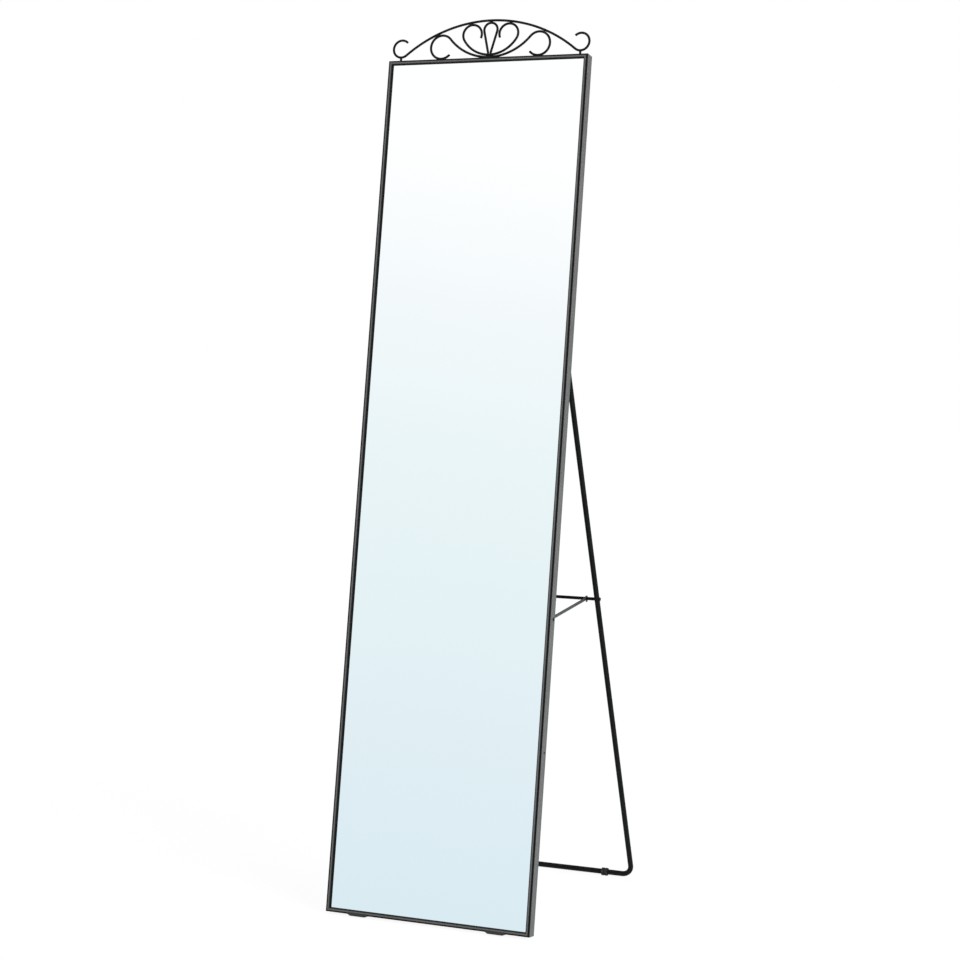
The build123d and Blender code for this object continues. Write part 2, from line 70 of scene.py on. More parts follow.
def math_node(tree, operation, a, b=None, clamp=False):
    """One step of arithmetic on sockets or numbers."""
    node = tree.nodes.new("ShaderNodeMath")
    node.operation = operation
    node.use_clamp = clamp
    for socket, value in zip(node.inputs, (a, b)):
        if value is None:
            continue
        if isinstance(value, (int, float)):
            socket.default_value = value
        else:
            tree.links.new(value, socket)
    return node.outputs[0]


def noise_at(tree, place, scale, detail=3.0, rough=0.5):
    """Noise between 0 and 1 on the object's own coordinates."""
    node = tree.nodes.new("ShaderNodeTexNoise")
    node.inputs["Scale"].default_value = scale
    node.inputs["Detail"].default_value = detail
    node.inputs["Roughness"].default_value = rough
    tree.links.new(place, node.inputs["Vector"])
    return node.outputs["Fac"]


def ramp(tree, factor, stops):
    """Colours along a factor, from (place, colour) pairs."""
    node = tree.nodes.new("ShaderNodeValToRGB")
    elements = node.color_ramp.elements
    while len(elements) < len(stops):
        elements.new(0.5)
    for element, (at, colour) in zip(elements, stops):
        element.position = at
        element.color = (*colour, 1.0)
    tree.links.new(factor, node.inputs["Fac"])
    return node.outputs["Color"]


def mix_colour(tree, factor, first, second):
    """Blends two colours, sockets or triples."""
    node = tree.nodes.new("ShaderNodeMix")
    node.data_type = "RGBA"
    sockets = [node.inputs[0], node.inputs[6], node.inputs[7]]
    for socket, value in zip(sockets, (factor, first, second)):
        if isinstance(value, (int, float)):
            socket.default_value = value
        elif isinstance(value, tuple):
            socket.default_value = (*value, 1.0)
        else:
            tree.links.new(value, socket)
    return node.outputs[2]


def bump(tree, surface, heights):
    """Chained bumps from (height socket, distance in metres, strength) triples."""
    last = None
    for height, distance, strength in heights:
        node = tree.nodes.new("ShaderNodeBump")
        node.inputs["Distance"].default_value = distance
        node.inputs["Strength"].default_value = strength
        tree.links.new(height, node.inputs["Height"])
        if last is not None:
            tree.links.new(last, node.inputs["Normal"])
        last = node.outputs["Normal"]
    tree.links.new(last, surface.inputs["Normal"])


def leaned_place(tree, place):
    """Object coordinates turned back upright: X across, Y back and Z up the glass."""
    node = tree.nodes.new("ShaderNodeMapping")
    node.vector_type = "TEXTURE"
    node.inputs["Location"].default_value = (0.0, TO_MIDDLE, LIFT)
    node.inputs["Rotation"].default_value = (-LEAN, 0.0, 0.0)
    tree.links.new(place, node.inputs["Vector"])
    split = tree.nodes.new("ShaderNodeSeparateXYZ")
    tree.links.new(node.outputs["Vector"], split.inputs["Vector"])
    return split.outputs


def leaned_normal(tree):
    """The surface's normal in the same upright drawing."""
    geometry = tree.nodes.new("ShaderNodeNewGeometry")
    to_object = tree.nodes.new("ShaderNodeVectorTransform")
    to_object.vector_type = "NORMAL"
    to_object.convert_from = "WORLD"
    to_object.convert_to = "OBJECT"
    tree.links.new(geometry.outputs["Normal"], to_object.inputs["Vector"])
    node = tree.nodes.new("ShaderNodeVectorRotate")
    node.rotation_type = "X_AXIS"
    node.inputs["Angle"].default_value = LEAN
    tree.links.new(to_object.outputs["Vector"], node.inputs["Vector"])
    split = tree.nodes.new("ShaderNodeSeparateXYZ")
    tree.links.new(node.outputs["Vector"], split.inputs["Vector"])
    return split.outputs


def frame_coat():
    """Dark grey powder coat, with painted shade along the corners and in the rebate, and a
    dark line at the mitres. Each dark line is 1 minus the distance from its edge over a
    width, raised and clamped."""
    material, tree, surface, place = new_surface("frame_powder_coat")
    x, y, z = leaned_place(tree, place)
    nx, _, nz = leaned_normal(tree)
    corner_width, line_width, hair_line = 0.004, 0.0026, 0.00012
    face_end, rebate_end, rear_darkens_from = 0.004, 0.006, 0.018
    tone = ramp(
        tree,
        noise_at(tree, place, 9.0, 4.0),
        [(0.35, (0.092, 0.092, 0.091)), (0.65, (0.110, 0.110, 0.108))],
    )
    speck = math_node(tree, "GREATER_THAN", noise_at(tree, place, 900.0, 2.0), 0.72)
    tone = mix_colour(tree, math_node(tree, "MULTIPLY", speck, 0.35), tone, (0.06, 0.06, 0.06))

    # Painted shade: all but black along the rolled outer corner, over about 3 mm of the face
    inset_x = math_node(tree, "SUBTRACT", HALF_WIDTH, math_node(tree, "ABSOLUTE", x))
    inset_z = math_node(tree, "MINIMUM", z, math_node(tree, "SUBTRACT", FRAME_HEIGHT, z))
    inset = math_node(tree, "MINIMUM", inset_x, inset_z)
    from_corner = math_node(tree, "MAXIMUM", inset, y)
    corner = math_node(tree, "DIVIDE", from_corner, corner_width)
    corner = math_node(tree, "SUBTRACT", 1.0, corner)
    corner = math_node(tree, "MULTIPLY", math_node(tree, "MAXIMUM", corner, 0.0), 2.2, clamp=True)
    tone = mix_colour(tree, corner, tone, (0.003, 0.003, 0.003))

    # Painted shade: a thinner dark line follows the face's inner corner, where it rounds over
    to_inside = math_node(tree, "SUBTRACT", FACE_WIDTH, inset)
    line = math_node(tree, "SUBTRACT", 1.0, math_node(tree, "DIVIDE", to_inside, line_width))
    line = math_node(tree, "MULTIPLY", math_node(tree, "MAXIMUM", line, 0.0), 2.0, clamp=True)
    front = math_node(tree, "LESS_THAN", y, face_end)
    line = math_node(tree, "MULTIPLY", line, math_node(tree, "MULTIPLY", front, 0.92))
    tone = mix_colour(tree, line, tone, (0.004, 0.005, 0.005))

    # The colour is darker towards the wall's rear edge
    rear = math_node(tree, "SUBTRACT", y, rear_darkens_from)
    rear = math_node(tree, "MULTIPLY", rear, 70.0, clamp=True)
    tone = mix_colour(tree, rear, tone, (0.055, 0.055, 0.054))

    # Painted shade: the rebate's inner faces, in front of the glass, are all but black
    across = math_node(tree, "MULTIPLY", math_node(tree, "SIGN", x), nx)
    from_middle = math_node(tree, "SUBTRACT", z, FRAME_HEIGHT / 2)
    upward = math_node(tree, "MULTIPLY", math_node(tree, "SIGN", from_middle), nz)
    inward = math_node(tree, "MINIMUM", across, upward)
    inner = math_node(tree, "LESS_THAN", inward, -0.7)
    inner = math_node(tree, "MULTIPLY", inner, math_node(tree, "LESS_THAN", y, rebate_end))
    tone = mix_colour(tree, inner, tone, (0.002, 0.002, 0.002))

    # A hair-line of filler shows where two members meet at 45 degrees
    apart = math_node(tree, "ABSOLUTE", math_node(tree, "SUBTRACT", inset_x, inset_z))
    mitre = math_node(tree, "LESS_THAN", apart, hair_line)
    mitre = math_node(tree, "MULTIPLY", mitre, math_node(tree, "LESS_THAN", inset_x, FACE_WIDTH))
    tone = mix_colour(tree, math_node(tree, "MULTIPLY", mitre, 0.75), tone, (0.03, 0.03, 0.03))
    tree.links.new(tone, surface.inputs["Base Color"])

    shine = noise_at(tree, place, 60.0, 5.0)
    shine = math_node(tree, "ADD", math_node(tree, "MULTIPLY", shine, 0.16), 0.42)
    dull = math_node(tree, "MAXIMUM", corner, inner)
    shine = math_node(tree, "ADD", shine, math_node(tree, "MULTIPLY", dull, 0.35))
    tree.links.new(shine, surface.inputs["Roughness"])
    surface.inputs["Specular IOR Level"].default_value = 0.18
    pebble = noise_at(tree, place, 1100.0, 2.0)
    wave = noise_at(tree, place, 45.0, 2.0)
    bump(tree, surface, [(wave, 0.0006, 0.12), (pebble, 0.00012, 0.35)])
    return material


def dress(material, *names):
    """Gives CAD nodes one material."""
    for name in names:
        materials = nodes[name].data.materials
        if not materials:
            materials.append(material)
        for index in range(len(materials)):
            materials[index] = material


dress(frame_coat(), "left_stile", "right_stile", "top_rail", "bottom_rail")


# The mirror: 3 mm float glass, silvered on its back, with ground edges. It lies in the
# rebate on two rubber blocks, and is plain and clean, with a faint cool cast.
def silvered_glass():
    """Silvered glass: a clean mirror whose ground edges show green."""
    material, tree, surface, place = new_surface("silvered_glass")
    _, facing, _ = leaned_normal(tree)
    sheet = math_node(tree, "GREATER_THAN", math_node(tree, "ABSOLUTE", facing), 0.5)
    cast = ramp(
        tree,
        noise_at(tree, place, 1.5, 2.0),
        [(0.3, (0.962, 0.972, 0.974)), (0.7, (0.970, 0.978, 0.980))],
    )
    colour = mix_colour(tree, sheet, (0.10, 0.24, 0.20), cast)
    tree.links.new(colour, surface.inputs["Base Color"])
    tree.links.new(sheet, surface.inputs["Metallic"])
    rough = math_node(tree, "SUBTRACT", 0.32, math_node(tree, "MULTIPLY", sheet, 0.318))
    tree.links.new(rough, surface.inputs["Roughness"])
    return material


dress(silvered_glass(), "mirror_glass")


# The back of the glass carries a grey safety film, glued on in one sheet. Its glass-fibre
# scrim shows through as a fine square weave, with a few soft ripples where it was rolled.
def scrim_film():
    """Grey film over a square scrim: each thread is a cosine's crest to the sixth power."""
    material, tree, surface, place = new_surface("safety_film")
    across, _, up = leaned_place(tree, place)
    pitch = 0.0032
    threads = []
    for along in (across, up):
        turns = math_node(tree, "MULTIPLY", along, 2 * math.pi / pitch)
        wave = math_node(tree, "COSINE", turns)
        threads.append(math_node(tree, "POWER", math_node(tree, "MAXIMUM", wave, 0.0), 6.0))
    scrim = math_node(tree, "MAXIMUM", threads[0], threads[1])
    tone = ramp(
        tree,
        noise_at(tree, place, 14.0, 5.0),
        [(0.3, (0.225, 0.235, 0.24)), (0.7, (0.285, 0.295, 0.30))],
    )
    tone = mix_colour(tree, math_node(tree, "MULTIPLY", scrim, 0.30), tone, (0.46, 0.47, 0.47))
    tree.links.new(tone, surface.inputs["Base Color"])
    surface.inputs["Roughness"].default_value = 0.55
    surface.inputs["Specular IOR Level"].default_value = 0.35
    stretch = tree.nodes.new("ShaderNodeMapping")
    stretch.inputs["Scale"].default_value = (7.0, 7.0, 1.1)
    tree.links.new(place, stretch.inputs["Vector"])
    ripple = noise_at(tree, stretch.outputs["Vector"], 1.6, 3.0)
    bump(tree, surface, [(ripple, 0.004, 0.35), (scrim, 0.0002, 0.5)])
    return material


dress(scrim_film(), "safety_film")


# Two black rubber blocks stand between the bottom rail and the lower edge of the glass.
# They are cut from extruded strip and are held only by the weight on them.
def rubber(name, colour):
    """Moulded black rubber, with a dull bloom."""
    material, tree, surface, place = new_surface(name)
    bloom = noise_at(tree, place, 160.0, 4.0)
    pale = tuple(3.0 * c + 0.01 for c in colour)
    tone = ramp(tree, bloom, [(0.35, colour), (0.8, pale)])
    tree.links.new(tone, surface.inputs["Base Color"])
    surface.inputs["Roughness"].default_value = 0.72
    surface.inputs["Specular IOR Level"].default_value = 0.25
    bump(tree, surface, [(noise_at(tree, place, 1500.0, 2.0), 0.0001, 0.4)])
    return material


dress(rubber("block_rubber", (0.012, 0.012, 0.012)), "setting_blocks")


# Fourteen spring clips of zinc-plated sheet press the film and the glass forward. Each
# is a strip bent at a right angle, with one leg on the frame's wall.
def plated_steel(name, colour, rough):
    """Zinc-plated steel, brushed a little, with cloudy passivation."""
    material, tree, surface, place = new_surface(name)
    cloud = noise_at(tree, place, 70.0, 5.0, 0.6)
    dull = tuple(0.72 * c for c in colour)
    tree.links.new(ramp(tree, cloud, [(0.3, dull), (0.7, colour)]), surface.inputs["Base Color"])
    surface.inputs["Metallic"].default_value = 0.9
    spread = math_node(tree, "ADD", math_node(tree, "MULTIPLY", cloud, 0.2), rough - 0.1)
    tree.links.new(spread, surface.inputs["Roughness"])
    bump(tree, surface, [(noise_at(tree, place, 700.0, 3.0), 0.00008, 0.3)])
    return material


zinc = plated_steel("zinc_plate", (0.50, 0.50, 0.48), 0.42)


def lean_back(points):
    """Points of the upright drawing, turned back about X by the lean and set in place."""
    x, y, z = points[..., 0], points[..., 1], points[..., 2]
    depth = z * np.sin(LEAN) + y * np.cos(LEAN) + TO_MIDDLE
    height = LIFT + z * np.cos(LEAN) - y * np.sin(LEAN)
    return np.stack([x, depth, height], axis=-1)


def skin(sheets):
    """Vertices and faces of closed tubes: each sheet is rows by columns of points, its
    columns go round and close, and its first and last rows are capped by one face."""
    vertices, faces, first = [], [], 0
    for sheet in sheets:
        rows, columns, _ = sheet.shape
        index = first + np.arange(rows * columns).reshape(rows, columns)
        beside = np.roll(index, -1, axis=1)
        quads = np.stack([index[:-1], beside[:-1], beside[1:], index[1:]], axis=-1)
        vertices.append(sheet.reshape(-1, 3))
        faces += quads.reshape(-1, 4).tolist()
        faces += [index[0, ::-1].tolist(), index[-1].tolist()]
        first += rows * columns
    return np.concatenate(vertices), faces


def add_piece(name, sheets, material, body, slot, *replaced):
    """A mesh piece from closed sheets, which rides on a body and stands for CAD nodes."""
    vertices, faces = skin(sheets)
    mesh = bpy.data.meshes.new(name)
    mesh.from_pydata(vertices.tolist(), [], faces)
    edit = bmesh.new()
    edit.from_mesh(mesh)
    bmesh.ops.recalc_face_normals(edit, faces=edit.faces)
    edit.to_mesh(mesh)
    edit.free()
    mesh.shade_smooth()
    mesh.set_sharp_from_angle(angle=math.radians(35.0))
    mesh.materials.append(material)
    thing = bpy.data.objects.new(name, mesh)
    bpy.context.scene.collection.objects.link(thing)
    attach(thing, body)
    if replaced:
        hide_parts(*replaced)


CLIP_FILM_SIDE = 0.0081
CLIP_REAR = 0.0225
CLIP_REACH = 0.009
CLIP_THICKNESS = 0.0012
CLIP_WIDTH = 0.014
CLIP_BEND = 0.002
CLIP_LIFT = 0.0006
CLIP_HEIGHTS = (0.14018, 0.42053, 0.90161, 1.23, 1.5121)
RAIL_CLIP_PLACES = (-0.075, 0.075)


def clip_strip():
    """A strip carried along a bent line: forward along the wall, round a quarter circle,
    in over the film, and back a little at the tip. X is in from the wall, Y is back. Its
    section is a super-ellipse, flat across the strip and rounded through its thickness."""
    turn = np.linspace(0.0, np.pi / 2, 9)
    mid = CLIP_THICKNESS / 2
    flat = CLIP_FILM_SIDE + mid
    bend_x = mid + CLIP_BEND * (1.0 - np.cos(turn))
    bend_y = flat + CLIP_BEND * (1.0 - np.sin(turn))
    line_x = np.concatenate([[mid, mid], bend_x, [CLIP_REACH * 0.8, CLIP_REACH]])
    line_y = np.concatenate([[CLIP_REAR, flat + 2 * CLIP_BEND], bend_y, [flat, flat + CLIP_LIFT]])
    step = np.stack([np.gradient(line_x), np.gradient(line_y)], axis=-1)
    step /= np.linalg.norm(step, axis=-1, keepdims=True)
    aside = np.stack([-step[:, 1], step[:, 0]], axis=-1)

    around = np.linspace(0.0, 2 * np.pi, 32, endpoint=False)
    wide = CLIP_WIDTH / 2 * np.sign(np.cos(around)) * np.abs(np.cos(around)) ** 0.12
    deep = mid * np.sign(np.sin(around)) * np.abs(np.sin(around)) ** 0.5
    sheet_x = line_x[:, None] + aside[:, :1] * deep
    sheet_y = line_y[:, None] + aside[:, 1:] * deep
    return sheet_x, sheet_y, np.broadcast_to(wide, sheet_x.shape)


def glass_clips():
    """The strip set against each wall: five on each stile and two on each rail."""
    inward, back, across = clip_strip()
    sheets = []
    for height in CLIP_HEIGHTS:
        for side in (-1, 1):
            points = [side * (HALF_WIDTH - SHEET - inward), back, height + across]
            sheets.append(lean_back(np.stack(points, axis=-1)))
    for middle in RAIL_CLIP_PLACES:
        for edge, way in ((SHEET, 1), (FRAME_HEIGHT - SHEET, -1)):
            points = [middle + across, back, edge + way * inward]
            sheets.append(lean_back(np.stack(points, axis=-1)))
    return sheets


add_piece("bent_glass_clips", glass_clips(), zinc, "mirror", "zinc_sheet", "glass_clips")


# Two moulded pads carry the bottom rail. Each has a lip on the rail's face, sloped ends,
# and a peg pushed up into the rail; shade is painted darker towards the sole where it stands.
PAD_SHADE_HEIGHT = 0.0055


def pad_plastic():
    """Dark grey moulded plastic, scuffed, with painted shade that is nearly black at the sole."""
    material, tree, surface, place = new_surface("pad_plastic")
    split = tree.nodes.new("ShaderNodeSeparateXYZ")
    tree.links.new(place, split.inputs["Vector"])
    # Painted shade: the colour darkens over the lowest 5.5 mm, towards the sole on the floor
    over_shade_height = 1 / PAD_SHADE_HEIGHT
    height = math_node(tree, "MULTIPLY", split.outputs["Z"], over_shade_height, clamp=True)
    scuff = noise_at(tree, place, 240.0, 4.0)
    blend = math_node(tree, "ADD", height, math_node(tree, "MULTIPLY", scuff, 0.35))
    tone = ramp(tree, blend, [(0.30, (0.004, 0.004, 0.004)), (0.85, (0.022, 0.022, 0.022))])
    tree.links.new(tone, surface.inputs["Base Color"])
    surface.inputs["Roughness"].default_value = 0.58
    surface.inputs["Specular IOR Level"].default_value = 0.3
    bump(tree, surface, [(noise_at(tree, place, 900.0, 2.0), 0.0001, 0.4)])
    return material


dress(pad_plastic(), "left_foot_pad", "right_foot_pad")


# The crown: round steel wire bent on pegs, tacked together and to the top rail, and
# coated near black with the leg. The coat is smooth, and pools a little at the joints.
def dark_coat(name, colour, rough):
    """Near-black satin coat over steel."""
    material, tree, surface, place = new_surface(name)
    warm = tuple(1.5 * c + 0.001 for c in colour)
    tone = ramp(tree, noise_at(tree, place, 25.0, 4.0), [(0.35, colour), (0.7, warm)])
    tree.links.new(tone, surface.inputs["Base Color"])
    shine = math_node(tree, "MULTIPLY", noise_at(tree, place, 120.0, 3.0), 0.14)
    tree.links.new(math_node(tree, "ADD", shine, rough - 0.07), surface.inputs["Roughness"])
    surface.inputs["Specular IOR Level"].default_value = 0.12
    bump(tree, surface, [(noise_at(tree, place, 900.0, 2.0), 0.0001, 0.25)])
    return material


wire_coat = dark_coat("crown_coat", (0.004, 0.004, 0.004), 0.44)
dress(wire_coat, "arch_wire", "scroll_wire", "heart_wire", "teardrop_wire", "crown_posts")


def weld_bead(x, z, length, width, height, ripples):
    """A bead along X in the crown's plane: an ellipse carried along its length, scaled by
    the root of 1 minus the cube of the way to its end, and by a sine at each ripple."""
    along = np.linspace(0.0, 1.0, 41)[:, None]
    around = np.linspace(0.0, 2 * np.pi, 20, endpoint=False)
    closing = np.sqrt(np.clip(1.0 - np.abs(2 * along - 1.0) ** 3.0, 0.003, 1.0))
    swell = closing * (1.0 + 0.09 * np.sin(2 * np.pi * ripples * along))
    y = FRAME_DEPTH / 2 + swell * np.cos(around) * width / 2
    up = z + swell * np.sin(around) * height / 2
    line = np.broadcast_to(x + (along - 0.5) * length, y.shape)
    return lean_back(np.stack([line, y, up], axis=-1))


# Each bent wire is tacked to what it touches: three large beads stand on the rail, and
# small ones above. A kind of bead is its width, its height and its count of ripples.
RAIL_BEAD = (0.0042, 0.0026, 6)
POST_BEAD = (0.0062, 0.0013, 2)
TACK = (0.0036, 0.0018, 2)
SCROLL_CURL_X = 0.09765
POST_X = 0.1808
beads = [weld_bead(0.0, FRAME_HEIGHT + 0.0007, 0.013, *RAIL_BEAD)]
for side in (-1, 1):
    beads.append(weld_bead(side * SCROLL_CURL_X, FRAME_HEIGHT + 0.0007, 0.012, *RAIL_BEAD))
    beads.append(weld_bead(side * POST_X, FRAME_HEIGHT + 0.0002, 0.0064, *POST_BEAD))
    for x, z in ((POST_X, 1.6012), (0.10758, 1.64286), (0.03967, 1.6625), (0.00245, 1.6049)):
        beads.append(weld_bead(side * x, z, 0.0036, *TACK))
for z in (1.66545, 1.60015):
    beads.append(weld_bead(0.0, z, 0.0044, *TACK))
add_piece("weld_beads", beads, wire_coat, "mirror", "frame_paint", "crown_welds")

# The hinge brackets are bent from 2 mm plate and welded inside the stiles. They carry the
# leg's bolts, and have the crown's near-black coat.
dress(wire_coat, "left_hinge_bracket", "right_hinge_bracket")

# The leg: one steel tube bent to a U, near black, with rubber rings on its floor bar,
# plugs in its ends and a black rod screwed between its uprights.
dress(dark_coat("leg_coat", (0.004, 0.004, 0.004), 0.40), "leg_tube")
dress(dark_coat("rod_coat", (0.0015, 0.0015, 0.0015), 0.5), "crossbar")
dress(rubber("ring_rubber", (0.010, 0.010, 0.010)), "left_foot_ring", "right_foot_ring")
dress(rubber("cap_plastic", (0.014, 0.014, 0.014)), "leg_end_caps")

# The fasteners: domed screws with a cross recess, socket bolts and chamfered hex nuts,
# all turned and plated. The screws are blackened; washers, spacers and nuts are bright.
blackened = plated_steel("black_zinc", (0.035, 0.035, 0.037), 0.45)
dress(zinc, "pivot_washers", "stay_spacers")
STAY_PIN = (0.0172, 0.5607)
HINGE_PIN = (0.031, 1.048)
STILE_SCREW_PLACE = (0.0163, 0.323)


def turned(profile, recess):
    """A profile of (radius, depth) pairs carried round an axis along X. Its face is a
    parabola from the middle to the first pair, where recess(y, z) adds a depth."""
    pole = 0.00002
    face_rings = 15
    fine = np.linspace(0.0, 1.0, face_rings + 1)[1:]
    rim_radius, rim_depth = profile[0]
    rest = np.array(profile[1:])
    radius = np.concatenate([[pole], rim_radius * fine, rest[:, 0], [pole]])
    depth = np.concatenate([[0.0], rim_depth * fine**2, rest[:, 1], rest[-1:, 1]])
    around = np.linspace(0.0, 2 * np.pi, 48, endpoint=False)
    y = radius[:, None] * np.cos(around)
    z = radius[:, None] * np.sin(around)
    on_face = (np.arange(len(radius)) < face_rings)[:, None]
    return depth[:, None] + on_face * recess(y, z), y, z


def cross_recess(y, z):
    """A cross 0.9 mm wide and 4 mm long, 0.8 mm deep."""
    arm = np.minimum(np.abs(y), np.abs(z)) < 0.00045
    return 0.0008 * (arm & (np.hypot(y, z) < 0.002))


def no_recess(y, z):
    """A head left plain."""
    return np.zeros_like(y)


def hex_recess(y, z):
    """A hexagon 3 mm across its flats, 1.6 mm deep."""
    turn = np.arange(3) * np.pi / 3
    flats = np.abs(y[..., None] * np.cos(turn) + z[..., None] * np.sin(turn))
    return 0.0016 * (flats.max(axis=-1) < 0.0015)


def hex_nut(height, flat, bore):
    """A nut's section carried round its axis, from halfway down its bore and back there.
    Outside, the radius is half the flats over the cosine of the turn from the nearest
    flat's middle, and both end faces are circles, so that only the corners fall away."""
    around = np.linspace(0.0, 2 * np.pi, 72, endpoint=False)
    corner = (flat / 2) / np.cos((around + np.pi / 6) % (np.pi / 3) - np.pi / 6)
    face = flat / 2 * 0.97
    fall = (corner - face) * 0.5
    lip = 0.0003
    rings = [
        (bore, height / 2),
        (bore, lip),
        (bore + lip, 0.0),
        (face, 0.0),
        (corner, fall),
        (corner, height - fall),
        (face, height),
        (bore + lip, height),
        (bore, height - lip),
        (bore, height / 2),
    ]
    radius = np.stack([around * 0.0 + r for r, _ in rings])
    depth = np.stack([around * 0.0 + d for _, d in rings])
    return depth, radius * np.cos(around), radius * np.sin(around)


def on_both_sides(sheet, pin, start, way):
    """A turned sheet at a pin's (Y, Z) on the right, and its mirror image. Its depth is
    counted from start: outwards where way is 1, and inwards where it is -1."""
    depth, y, z = sheet
    x = start + way * depth
    return [
        lean_back(np.stack([side * x, pin[0] + y, pin[1] + z], axis=-1)) for side in (-1, 1)
    ]


# Stay screw: a head 7 mm wide on the stile, and a shank in to the nut
screw = turned(
    [
        (0.0024, 0.00018),
        (0.0032, 0.0006),
        (0.0035, 0.0013),
        (0.0035, 0.0014),
        (0.0020, 0.0014),
        (0.0020, 0.0116),
        (0.0017, 0.0119),
    ],
    cross_recess,
)
sheets = on_both_sides(screw, STAY_PIN, 0.2014, -1)
add_piece("stay_pan_screws", sheets, blackened, "mirror", "dark_screw", "stay_screws")

# Pivot bolt: a head 8.5 mm wide inside the tube, and a shank out through the bracket
bolt = turned(
    [
        (0.0036, 0.0),
        (0.00425, 0.0006),
        (0.00425, 0.0030),
        (0.0025, 0.0030),
        (0.0025, 0.0185),
        (0.0021, 0.0189),
    ],
    hex_recess,
)
sheets = on_both_sides(bolt, HINGE_PIN, 0.1769, 1)
add_piece("pivot_socket_bolts", sheets, blackened, "mirror", "dark_screw", "pivot_bolts")

# The nuts: 8 mm across flats behind the bracket's ear, and 7 mm inside the stay arm
sheets = on_both_sides(hex_nut(0.003, 0.008, 0.00255), HINGE_PIN, 0.1922, 1)
add_piece("pivot_hex_nuts", sheets, zinc, "mirror", "zinc_hardware", "pivot_nuts")
sheets = on_both_sides(hex_nut(0.003, 0.007, 0.00205), STAY_PIN, 0.1895, 1)
add_piece("stay_hex_nuts", sheets, zinc, "mirror", "zinc_hardware", "stay_nuts")

# A small pan head on each stile's wall, well below the stay
pan = turned([(0.0014, 0.0001), (0.0020, 0.0004), (0.0022, 0.0009)], no_recess)
sheets = on_both_sides(pan, STILE_SCREW_PLACE, 0.2009, -1)
add_piece("stile_pan_screws", sheets, blackened, "mirror", "dark_screw")

# Crossbar screw: a head 7.6 mm wide outside the upright, and a shank into the rod's end
low, high = (np.array(corner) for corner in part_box("crossbar_screws"))
back, up = (low[1] + high[1]) / 2, (low[2] + high[2]) / 2
depth, y, z = turned(
    [
        (0.0026, 0.0002),
        (0.0035, 0.0008),
        (0.0038, 0.0017),
        (0.0038, 0.0018),
        (0.0015, 0.0018),
        (0.0015, 0.0253),
    ],
    cross_recess,
)
sheets = [
    np.stack([side * (high[0] - depth), back + y, up + z], axis=-1) for side in (-1, 1)
]
add_piece("crossbar_pan_screws", sheets, blackened, "leg", "dark_screw", "crossbar_screws")

# The stay arms: flat steel strip, stamped with an eye at one end and a hook at the other,
# and plated a plain grey. Each turns on its own screw in the stile.
stay_plate = plated_steel("stay_plate", (0.175, 0.170, 0.165), 0.5)
dress(stay_plate, "left_stay_arm", "right_stay_arm")


# The floor is a plain white board that keeps a faint shadow; the world behind is white.
def stage_board():
    """A flat floor, 16 m square, centred under the mirror. Straight on, a share of its
    shading is plain white: 0.9 near the mirror, rising with distance to 1."""
    half = 8.0
    corners = [(-half, -half, 0.0), (half, -half, 0.0), (half, half, 0.0), (-half, half, 0.0)]
    mesh = bpy.data.meshes.new("floor_board")
    mesh.from_pydata(corners, [], [(0, 1, 2, 3)])
    board = bpy.data.objects.new("floor_board", mesh)
    bpy.context.scene.collection.objects.link(board)
    material = bpy.data.materials.new("floor_white")
    material.use_nodes = True
    tree = material.node_tree
    tree.nodes.clear()
    out = tree.nodes.new("ShaderNodeOutputMaterial")
    matte = tree.nodes.new("ShaderNodeBsdfDiffuse")
    matte.inputs["Color"].default_value = (0.86, 0.86, 0.86, 1.0)
    glow = tree.nodes.new("ShaderNodeEmission")
    glow.inputs["Strength"].default_value = 1.02
    mirrored = tree.nodes.new("ShaderNodeEmission")
    mirrored.inputs["Color"].default_value = (0.700, 0.830, 0.890, 1.0)
    path = tree.nodes.new("ShaderNodeLightPath")
    seen = tree.nodes.new("ShaderNodeMixShader")
    place = tree.nodes.new("ShaderNodeTexCoord").outputs["Object"]
    reach = tree.nodes.new("ShaderNodeVectorMath")
    reach.operation = "LENGTH"
    tree.links.new(place, reach.inputs[0])
    far = math_node(tree, "SUBTRACT", reach.outputs["Value"], 1.2)
    far = math_node(tree, "MAXIMUM", math_node(tree, "MULTIPLY", far, 0.35), 0.0)
    share = math_node(tree, "ADD", math_node(tree, "MINIMUM", far, 0.10), 0.90)
    share = math_node(tree, "MULTIPLY", path.outputs["Is Camera Ray"], share)
    tree.links.new(share, seen.inputs[0])
    tree.links.new(matte.outputs[0], seen.inputs[1])
    tree.links.new(glow.outputs[0], seen.inputs[2])
    last = tree.nodes.new("ShaderNodeMixShader")
    tree.links.new(path.outputs["Is Glossy Ray"], last.inputs[0])
    tree.links.new(seen.outputs[0], last.inputs[1])
    tree.links.new(mirrored.outputs[0], last.inputs[2])
    tree.links.new(last.outputs[0], out.inputs["Surface"])
    mesh.materials.append(material)


stage_board()


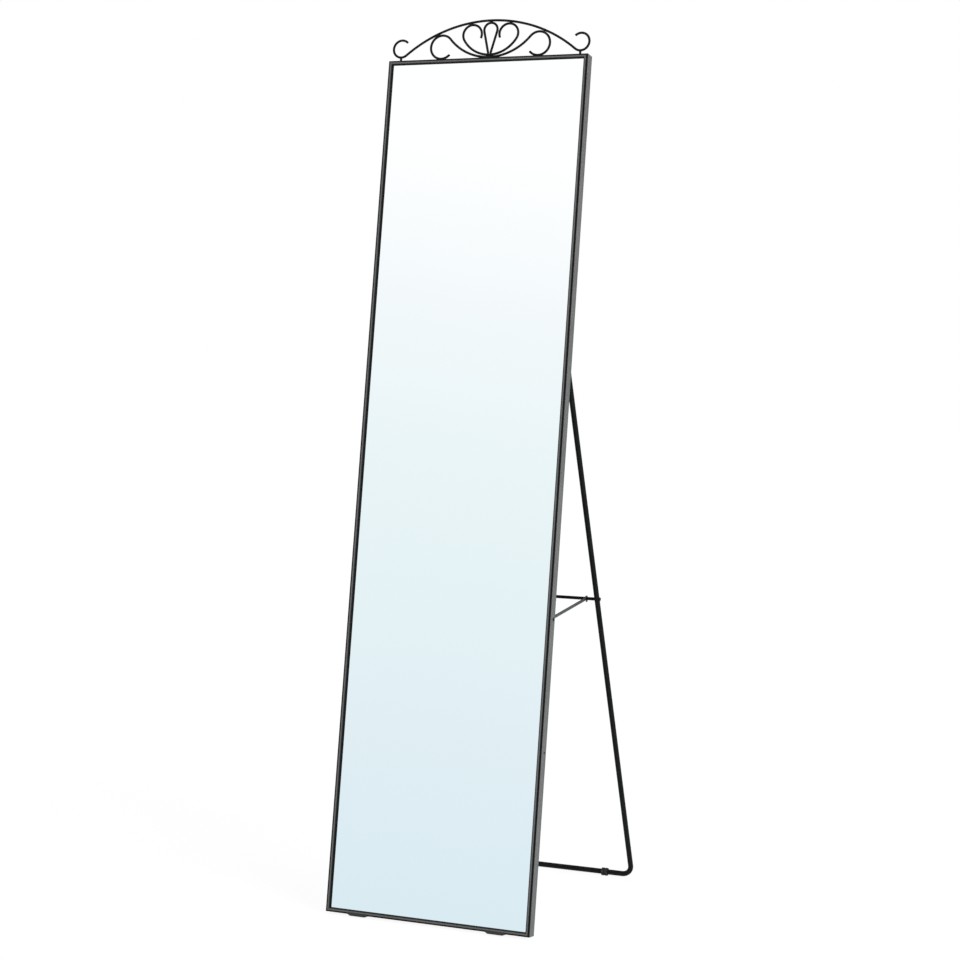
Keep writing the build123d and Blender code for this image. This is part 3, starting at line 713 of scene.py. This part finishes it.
# The studio: white seen straight, and in gloss a sky that pales from blue to white with
# height, as the room in front of the glass does. Matte surfaces get an even soft light.
def studio_world():
    """World colour by the kind of ray, and in gloss by its height and by how far it goes
    towards the back, where the studio is dark."""
    world = bpy.data.worlds.new("studio")
    world.use_nodes = True
    tree = world.node_tree
    tree.nodes.clear()
    out = tree.nodes.new("ShaderNodeOutputWorld")
    path = tree.nodes.new("ShaderNodeLightPath")
    direction = tree.nodes.new("ShaderNodeTexCoord").outputs["Generated"]
    split = tree.nodes.new("ShaderNodeSeparateXYZ")
    tree.links.new(direction, split.inputs["Vector"])
    rise = math_node(tree, "MULTIPLY", split.outputs["Z"], 2.5, clamp=True)
    sky = ramp(
        tree,
        rise,
        [
            (0.07, (0.722, 0.850, 0.910)),
            (0.32, (0.790, 0.890, 0.932)),
            (0.57, (0.838, 0.930, 0.945)),
            (0.77, (0.925, 0.970, 0.990)),
            (0.95, (1.03, 1.03, 1.03)),
        ],
    )
    behind = math_node(tree, "ADD", split.outputs["Y"], 0.05)
    behind = math_node(tree, "MULTIPLY", behind, 4.0, clamp=True)
    sky = mix_colour(tree, behind, sky, (0.30, 0.31, 0.32))
    soft = mix_colour(tree, path.outputs["Is Glossy Ray"], (0.36, 0.36, 0.36), sky)
    shown = mix_colour(tree, path.outputs["Is Camera Ray"], soft, (1.0, 1.0, 1.0))
    glow = tree.nodes.new("ShaderNodeBackground")
    tree.links.new(shown, glow.inputs["Color"])
    tree.links.new(glow.outputs[0], out.inputs["Surface"])
    bpy.context.scene.world = world


studio_world()


# Three soft lamps: the key from the right, a fill from the left and front, and one from
# behind for the back of the mirror. None of them shows in a reflection.
def softbox(name, place, target, size, watts):
    """A square lamp at a place, aimed at a target, and kept out of reflections."""
    lamp = bpy.data.lights.new(name, "AREA")
    lamp.shape = "SQUARE"
    lamp.size = size
    lamp.energy = watts
    thing = bpy.data.objects.new(name, lamp)
    bpy.context.scene.collection.objects.link(thing)
    back = np.array(place) - np.array(target)
    turn = math.atan2(back[0], -back[1])
    tilt = math.atan2(math.hypot(back[0], back[1]), back[2])
    thing.location = place
    thing.rotation_euler = (tilt, 0.0, turn)
    thing.visible_glossy = False


softbox("key_softbox", (4.0, -1.7, 2.6), (0.0, 0.0, 0.8), 2.4, 265.0)
softbox("fill_softbox", (-2.4, -4.0, 2.2), (0.0, 0.0, 0.9), 2.6, 75.0)
softbox("rear_softbox", (-1.2, 4.2, 2.4), (0.0, 0.0, 0.8), 2.6, 130.0)

# The camera stands to the mirror's right and in front, a little over a metre up, and is
# tilted down by five degrees.
camera_data = bpy.data.cameras.new("photo_camera")
camera_data.sensor_width = 36.0
camera_data.lens = 77.885
camera_data.shift_x = -0.010417
camera_data.shift_y = -0.04
camera_data.clip_end = 100.0
camera = bpy.data.objects.new("photo_camera", camera_data)
bpy.context.scene.collection.objects.link(camera)
camera.location = (1.48599, -3.33346 + TO_MIDDLE, 1.19330)
camera.rotation_euler = (math.radians(90.0 - 4.9556), 0.0, math.radians(22.193))
bpy.context.scene.camera = camera

bpy.context.scene.view_settings.view_transform = "Standard"
